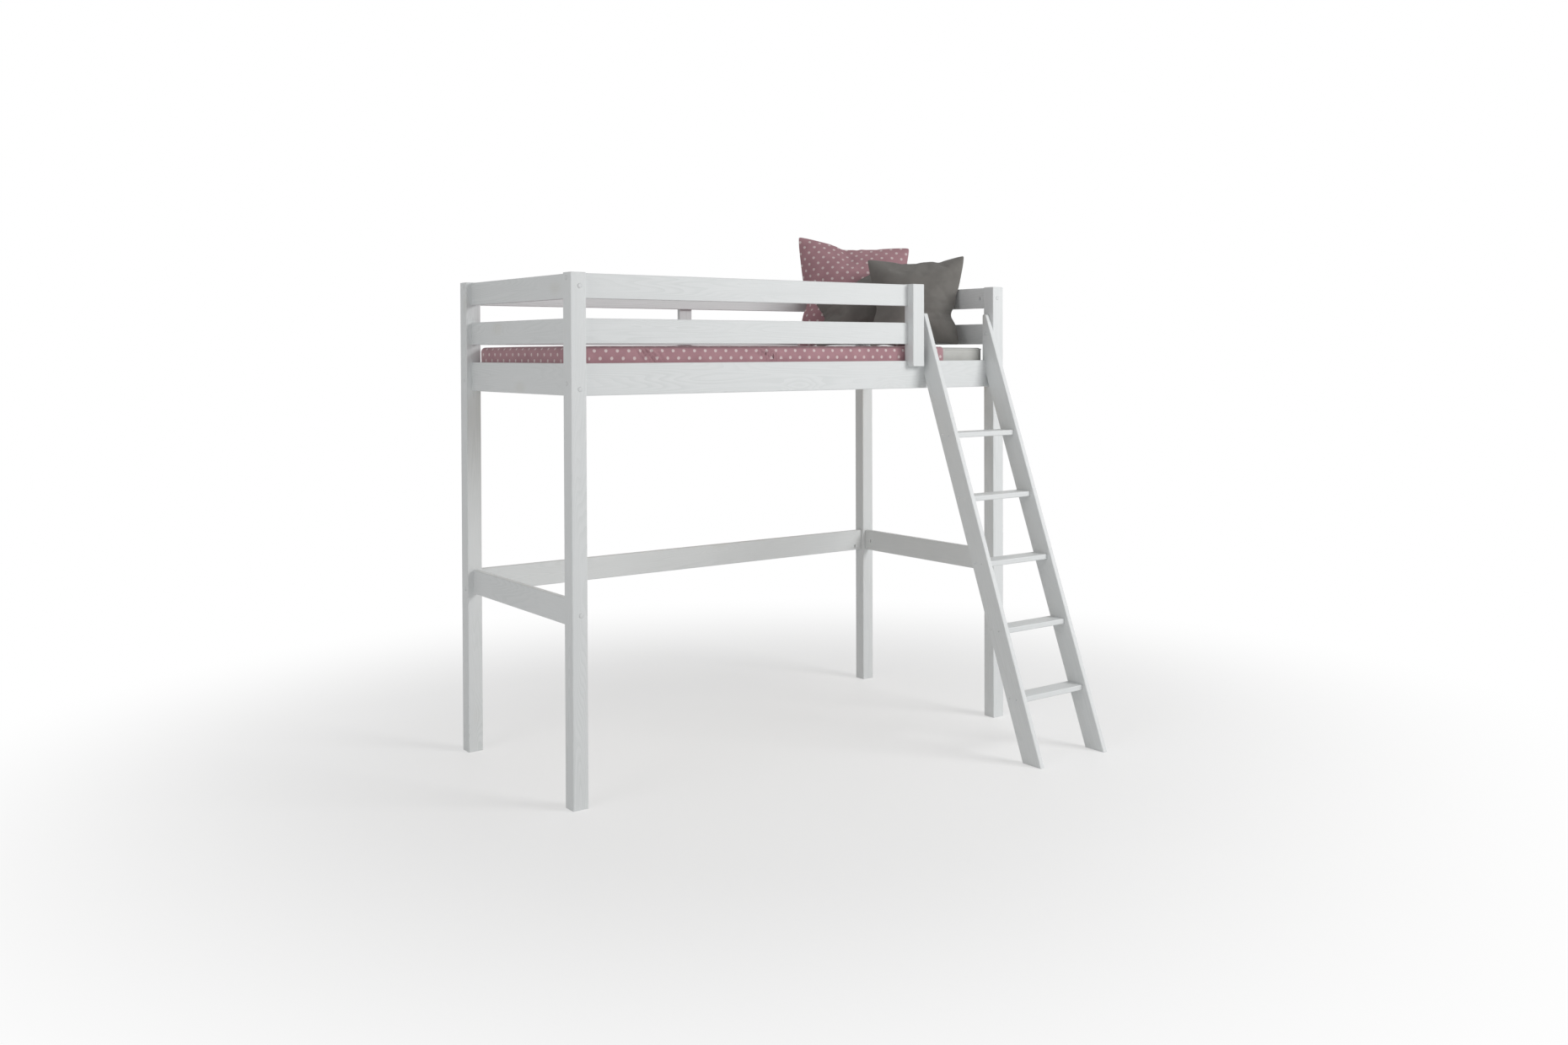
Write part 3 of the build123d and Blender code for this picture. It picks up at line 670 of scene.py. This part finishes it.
piping_radius = 0.0032
upper_piping = rim_cord("mattress_upper_piping", high.z - crown - rim_round * 0.55, rim_round * 0.25, piping_radius)
lower_piping = rim_cord("mattress_lower_piping", low.z + rim_round * 0.55, rim_round * 0.25, piping_radius)
for piece in (upper_piping, lower_piping):
    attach(piece, "root")
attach(mattress, "root")
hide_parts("mattress")
print("mattress:", len(mattress.data.polygons), "faces")

# %% [markdown]
# The cover is one cloth drawn over the mattress from the foot end. It is made from the same
# rounded block, a few millimetres larger, cut off at its hem and at its open end, and then
# subdivided until folds fit in it. Its map is the cloth laid flat: a point on the side is as
# far out in the map as it hangs down the side, so the print runs over the rim unbroken.

# %% Bed cover
cover_low, cover_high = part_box("bed_cover")
cloth_thickness = 0.0014
cover_size = Vector((cover_high.x - cover_low.x, cover_high.y - cover_low.y, 0))
block_size = Vector((mattress_size.x + 0.0052, cover_size.y - 0.0014, mattress_size.z + 0.0026 - crown))
cover = rounded_block(
    "dotted_bed_cover", block_size, mattress_middle + Vector((0, 0, 0.0013 - crown / 2)),
    corner_round + 0.002, rim_round + 0.002, 5,
)
choose(cover)
bpy.ops.object.mode_set(mode="EDIT")
bpy.ops.mesh.select_all(action="SELECT")
bpy.ops.mesh.bisect(plane_co=(cover_high.x, 0, 0), plane_no=(1, 0, 0), clear_outer=True)
bpy.ops.mesh.select_all(action="SELECT")
bpy.ops.mesh.bisect(plane_co=(0, 0, cover_low.z), plane_no=(0, 0, -1), clear_outer=True)
bpy.ops.object.mode_set(mode="OBJECT")
cut_rows(cover, 0, cover_low.x, cover_high.x, 0.012)
for start, end in ((-0.82, -0.60), (-0.29, -0.05)):
    cut_rows(cover, 0, start, end, 0.0036)
cut_rows(cover, 1, cover_low.y, cover_high.y, 0.02)
cut_rows(cover, 2, cover_low.z, cover_high.z, 0.0085)

rim_level = cover_high.z - crown
map_layer = cover.data.uv_layers.active
row_shift = 0.0138


def laid_flat(point):
    """Where a point of the cover lies when the cloth is taken off and laid flat."""
    inner_x = max(point.x, cover_low.x + corner_round)
    inner_y = min(max(point.y, cover_low.y + corner_round), cover_high.y - corner_round)
    out = Vector((point.x - inner_x, point.y - inner_y))
    drop = max(0.0, rim_level - point.z)
    if out.length > 1e-6:
        out = out.normalized() * (out.length + drop)
    return (inner_x + out.x, inner_y + out.y + row_shift)


for loop in cover.data.loops:
    map_layer.data[loop.index].uv = laid_flat(cover.data.vertices[loop.vertex_index].co)

# %% [markdown]
# Where the cloth is tucked in, it pulls into short slanting folds on the long side, and the
# rest of the side puckers a little. A fold is a narrow ridge that leans, swells in the middle
# and dies out at both ends.

# %% Folds in the cover
fold_level = 1.617
front_folds = [
    (-0.742, 0.95, 0.0058, 0.0048), (-0.722, 0.95, 0.0054, 0.0066), (-0.703, 1.00, 0.0058, 0.0072),
    (-0.683, 0.95, 0.0062, 0.0054), (-0.655, 0.80, 0.0080, 0.0030), (-0.212, 1.45, 0.0060, 0.0050),
    (-0.190, 1.45, 0.0056, 0.0068), (-0.168, 1.50, 0.0060, 0.0072), (-0.143, 1.45, 0.0064, 0.0056),
    (-0.116, 1.30, 0.0080, 0.0032), (-0.480, -0.30, 0.020, 0.0016), (0.120, 0.40, 0.018, 0.0016),
]


def fold_height(along, height, folds):
    """How far the side stands out at a place along it and a height."""
    total = 0.0
    fade = max(0.0, 1 - abs((height - fold_level) / 0.034) ** 2.5)
    for middle, slope, width, depth in folds:
        off = (along - middle + slope * (height - fold_level)) / width
        steep = 2.0 if off < 0 else 1.0
        total += 1.75 * depth * math.exp(-((off * steep) ** 2)) * fade
        total -= 0.35 * depth * math.exp(-((off - 1.7) ** 2)) * fade
    return total


def pucker(along, height, size):
    wave = math.sin(along * 61) * math.sin(along * 23 + 1.3) + 0.5 * math.sin(along * 131 + height * 40)
    return size * wave


for vert in cover.data.vertices:
    point = vert.co
    drop = max(0.0, rim_level - point.z)
    on_side = min(1.0, drop / 0.02)
    if point.y < cover_low.y + 0.01:
        stand = fold_height(point.x, point.z, front_folds) + pucker(point.x, point.z, 0.0005)
        vert.co.y -= stand * on_side * 0.8
    elif point.y > cover_high.y - 0.01:
        stand = fold_height(-point.x - 0.3, point.z, front_folds) + pucker(point.x + 0.4, point.z, 0.0005)
        vert.co.y += stand * on_side * 0.5
    elif point.x < cover_low.x + 0.01:
        vert.co.x -= (0.0008 + pucker(point.y, point.z, 0.0008)) * on_side
    if drop < 0.004:
        vert.co.z += crown * crown_share(point)
        rumple = math.sin(point.x * 17 + math.sin(point.y * 9) * 1.4) * math.sin(point.y * 13 + point.x * 5)
        vert.co.z += 0.0009 * (rumple - 0.6) * crown_share(point)
choose(cover)
bpy.ops.object.shade_smooth()
thick = cover.modifiers.new("cloth thickness", "SOLIDIFY")
thick.thickness = cloth_thickness
thick.offset = 1
apply_modifiers(cover)
cover.data.materials.append(dotted_cotton)
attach(cover, "root")
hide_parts("bed_cover")

# %% [markdown]
# Each pillow is sewn from two flat panels and then filled. The model does the same: a flat
# bag of two fine grids is blown up by a cloth simulation, so its edges draw in between the
# corners, the corners stay pointed and small creases run in from the seams. The frame's plain
# pillow tells where it stands, how it leans and how large it is.

# %% Pillow space
pillow_heading = math.radians(38)


def pillow_axes(lean_degrees):
    """Across, up and facing directions of a pillow that leans back."""
    lean_angle = math.radians(lean_degrees)
    back = Vector((math.sin(pillow_heading), math.cos(pillow_heading), 0))
    across = Vector((back.y, -back.x, 0))
    facing = Vector((0, 0, math.sin(lean_angle))) - back * math.cos(lean_angle)
    return Matrix((across, facing.cross(across), facing)).transposed()


def pillow_space(node, lean_degrees):
    """The turn of a frame pillow, its middle and its size in that turn."""
    axes = pillow_axes(lean_degrees)
    inverse = axes.transposed()
    points = [inverse @ vert.co for vert in nodes[node].data.vertices]
    lowest = Vector([min(point[axis] for point in points) for axis in range(3)])
    highest = Vector([max(point[axis] for point in points) for axis in range(3)])
    return axes, (lowest + highest) / 2, highest - lowest


def flat_bag(name, cells, corners):
    """Two grids, sewn all round, with the corners where they are on the laid out pillow."""
    bpy.ops.mesh.primitive_grid_add(x_subdivisions=cells, y_subdivisions=cells, size=2)
    bag = bpy.context.object
    bag.name = name
    bpy.ops.object.mode_set(mode="EDIT")
    bpy.ops.mesh.select_all(action="SELECT")
    bpy.ops.mesh.extrude_region_move(TRANSFORM_OT_translate={"value": (0, 0, 0.004)})
    bpy.ops.mesh.select_all(action="SELECT")
    bpy.ops.mesh.normals_make_consistent(inside=False)
    bpy.ops.object.mode_set(mode="OBJECT")
    layer = bag.data.uv_layers.active or bag.data.uv_layers.new(name="laid flat")
    for vert in bag.data.vertices:
        across, up = (vert.co.x + 1) / 2, (vert.co.y + 1) / 2
        bottom = Vector(corners[0]).lerp(Vector(corners[1]), across)
        top = Vector(corners[3]).lerp(Vector(corners[2]), across)
        place = bottom.lerp(top, up)
        vert.co.x, vert.co.y = place
        vert.co.z = vert.co.z - 0.002
    for loop in bag.data.loops:
        layer.data[loop.index].uv = bag.data.vertices[loop.vertex_index].co.xy
    return bag


print("pillow space ready")

# %% [markdown]
# An empty bag that is blown up tight draws in far more than a pillow does. The filled shape
# keeps its thickness, but only a share of that draw in, as a cap on how far a point may move.

# %% Blow the pillows up
draw_in = 0.36


def blow_up(bag, frames, pressure, stiffness):
    """Fills a bag by cloth simulation and keeps the result."""
    choose(bag)
    modifier = bag.modifiers.new("cloth", "CLOTH")
    settings = modifier.settings
    settings.quality = 6
    settings.mass = 0.25
    settings.tension_stiffness = stiffness
    settings.compression_stiffness = stiffness
    settings.shear_stiffness = stiffness / 2
    settings.bending_stiffness = 0.25
    settings.use_pressure = True
    settings.uniform_pressure_force = pressure
    settings.effector_weights.gravity = 0
    modifier.point_cache.frame_start = 1
    modifier.point_cache.frame_end = frames
    for number in range(1, frames + 1):
        bpy.context.scene.frame_set(number)
    flat = [vert.co.copy() for vert in bag.data.vertices]
    apply_modifiers(bag)
    bpy.context.scene.frame_set(1)
    for vert, before in zip(bag.data.vertices, flat):
        vert.co.x = before.x + draw_in * (vert.co.x - before.x)
        vert.co.y = before.y + draw_in * (vert.co.y - before.y)
    return bag


def fit_pillow(bag, node, lean_degrees, thickness_share, shape=None):
    """Scales a filled bag to the frame pillow's size and stands it in its place."""
    axes, middle, size = pillow_space(node, lean_degrees)
    points = [vert.co for vert in bag.data.vertices]
    lowest = Vector([min(point[axis] for point in points) for axis in range(3)])
    highest = Vector([max(point[axis] for point in points) for axis in range(3)])
    scale = [size[axis] / (highest[axis] - lowest[axis]) for axis in range(3)]
    scale[2] *= thickness_share
    centre = (lowest + highest) / 2
    for vert in bag.data.vertices:
        point = Vector([(vert.co[axis] - centre[axis]) * scale[axis] for axis in range(3)])
        if shape:
            point = shape(point, size)
        vert.co = axes @ (point + middle)
    choose(bag)
    bpy.ops.object.shade_smooth()
    smooth = bag.modifiers.new("rounding", "SUBSURF")
    smooth.levels = smooth.render_levels = 1
    apply_modifiers(bag)
    return bag


def slump(point, size):
    """Lowers the upper left corner of a tired pillow."""
    across = point.x / size.x + 0.5
    up = point.y / size.y + 0.5
    share = max(0.0, 1 - across / 0.58) * max(0.0, up - 0.05) ** 1.3
    point.y -= share * size.y * 0.52
    return point


def press(point, size):
    """Creases across the lower right of the front pillow, and a pinch in its side."""
    across = point.x / size.x
    up = point.y / size.y
    if point.z > 0 and across > -0.1:
        reach = min(1.0, (across + 0.1) / 0.25)
        for level, slope, width, depth in (
            (-0.06, 0.10, 0.018, 0.0045), (-0.17, 0.16, 0.022, 0.0075), (-0.24, 0.05, 0.016, 0.0040),
        ):
            off = (up - level - slope * (across - 0.2)) / width
            point.z -= depth * reach * math.exp(-off * off)
            point.z += 0.4 * depth * reach * math.exp(-((off - 1.8) ** 2))
    if across > 0.2:
        point.x -= 0.020 * (across - 0.2) / 0.3 * math.exp(-(((up + 0.17) / 0.07) ** 2))
    return point


def make_pillow(name, node, lean_degrees, corners, material, shape=None):
    bag = flat_bag(name, 46, corners)
    blow_up(bag, 26, 5.0, 12.0)
    fit_pillow(bag, node, lean_degrees, 0.98, shape)
    bag.data.materials.append(material)
    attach(bag, "root")
    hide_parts(node)
    print(name, len(bag.data.polygons), "faces")
    return bag


make_pillow(
    "pink_dotted_pillow", "dotted_pillow", 12,
    [(-0.262, -0.262), (0.262, -0.262), (0.270, 0.226), (-0.262, 0.278)],
    dotted_cotton,
)
make_pillow(
    "slumped_grey_pillow", "slumped_pillow", 15,
    [(-0.235, -0.202), (0.235, -0.202), (0.235, 0.202), (-0.235, 0.202)],
    grey_cotton, slump,
)
make_pillow(
    "front_grey_pillow", "plain_pillow", 20,
    [(-0.200, -0.220), (0.190, -0.214), (0.232, 0.220), (-0.209, 0.207)],
    grey_cotton, press,
)

# %% [markdown]
# Wood screws hold the treads, the ledges and the uprights. One screw is modelled: a flat
# countersunk head with a softened rim and a cross recess. Copies are turned and set in place,
# and those that belong together are joined.

# %% Screws
head_radius = 0.0042


def screw_head():
    bpy.ops.mesh.primitive_cylinder_add(vertices=20, radius=head_radius, depth=0.0016)
    head = bpy.context.object
    bpy.ops.object.mode_set(mode="EDIT")
    mesh = bmesh.from_edit_mesh(head.data)
    bpy.ops.mesh.select_all(action="DESELECT")
    bpy.ops.mesh.select_mode(type="FACE")
    for side in mesh.faces:
        side.select = side.normal.z > 0.9
    bmesh.update_edit_mesh(head.data)
    bpy.ops.mesh.inset(thickness=0.0005, depth=0.0004)
    bpy.ops.mesh.inset(thickness=0.0014, depth=0.0)
    bpy.ops.object.mode_set(mode="OBJECT")
    for turn in (0, 1):
        bpy.ops.mesh.primitive_cube_add(size=1, location=(0, 0, 0.0012))
        slot_box = bpy.context.object
        slot_box.scale = (0.0044, 0.0011, 0.0018) if turn == 0 else (0.0011, 0.0044, 0.0018)
        settle(slot_box)
        cut = head.modifiers.new("cross", "BOOLEAN")
        cut.operation = "DIFFERENCE"
        cut.object = slot_box
        apply_modifiers(head)
        choose(slot_box)
        bpy.ops.object.delete()
    return head


def screw_set(name, places):
    """Copies of the screw at (point, outward direction) places, joined into one piece."""
    template = screw_head()
    copies = []
    for number, (point, outward) in enumerate(places):
        copy = template.copy()
        copy.data = template.data.copy()
        bpy.context.scene.collection.objects.link(copy)
        turn = Vector(outward).to_track_quat("Z", "Y").to_matrix().to_4x4()
        spin = Matrix.Rotation(number * 0.7, 4, "Z")
        copy.data.transform(Matrix.Translation(point) @ turn @ spin)
        copies.append(copy)
    choose(*copies)
    bpy.ops.object.join()
    screws = copies[0]
    screws.name = name
    bpy.ops.object.shade_smooth_by_angle(angle=math.radians(35))
    screws.data.materials.clear()
    screws.data.materials.append(zinc)
    choose(template)
    bpy.ops.object.delete()
    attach(screws, "root")
    print(name, len(places), "screws")
    return screws


left_low, left_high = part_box("ladder_left_stile")
right_low, right_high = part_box("ladder_right_stile")
proud = 0.0003
places = []
for name in treads:
    tread_low, tread_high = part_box(name)
    z = (tread_low.z + tread_high.z) / 2
    for back in (0.018, 0.058):
        y = tread_low.y + back
        places.append(((left_low.x - proud, y, z), (-1, 0, 0)))
        places.append(((right_high.x + proud, y, z), (1, 0, 0)))
screw_set("tread_screws", places)

places = []
for name, outward in (("front_slat_ledge", 1), ("rear_slat_ledge", -1)):
    ledge_low, ledge_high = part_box(name)
    y = ledge_high.y if outward > 0 else ledge_low.y
    for number in range(7):
        x = ledge_low.x + 0.08 + (ledge_high.x - ledge_low.x - 0.16) * number / 6
        places.append(((x, y + outward * proud, (ledge_low.z + ledge_high.z) / 2), (0, outward, 0)))
screw_set("ledge_screws", places)

places = []
upright_low, upright_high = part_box("rear_guard_upright")
for rail in ("rear_top_guard_rail", "rear_low_guard_rail", "rear_side_rail"):
    rail_low, rail_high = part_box(rail)
    for share in (0.3, 0.7):
        z = rail_low.z + (rail_high.z - rail_low.z) * share
        x = (upright_low.x + upright_high.x) / 2 + (share - 0.5) * 0.05
        places.append(((x, upright_high.y + proud, z), (0, 1, 0)))
screw_set("rear_upright_screws", places)
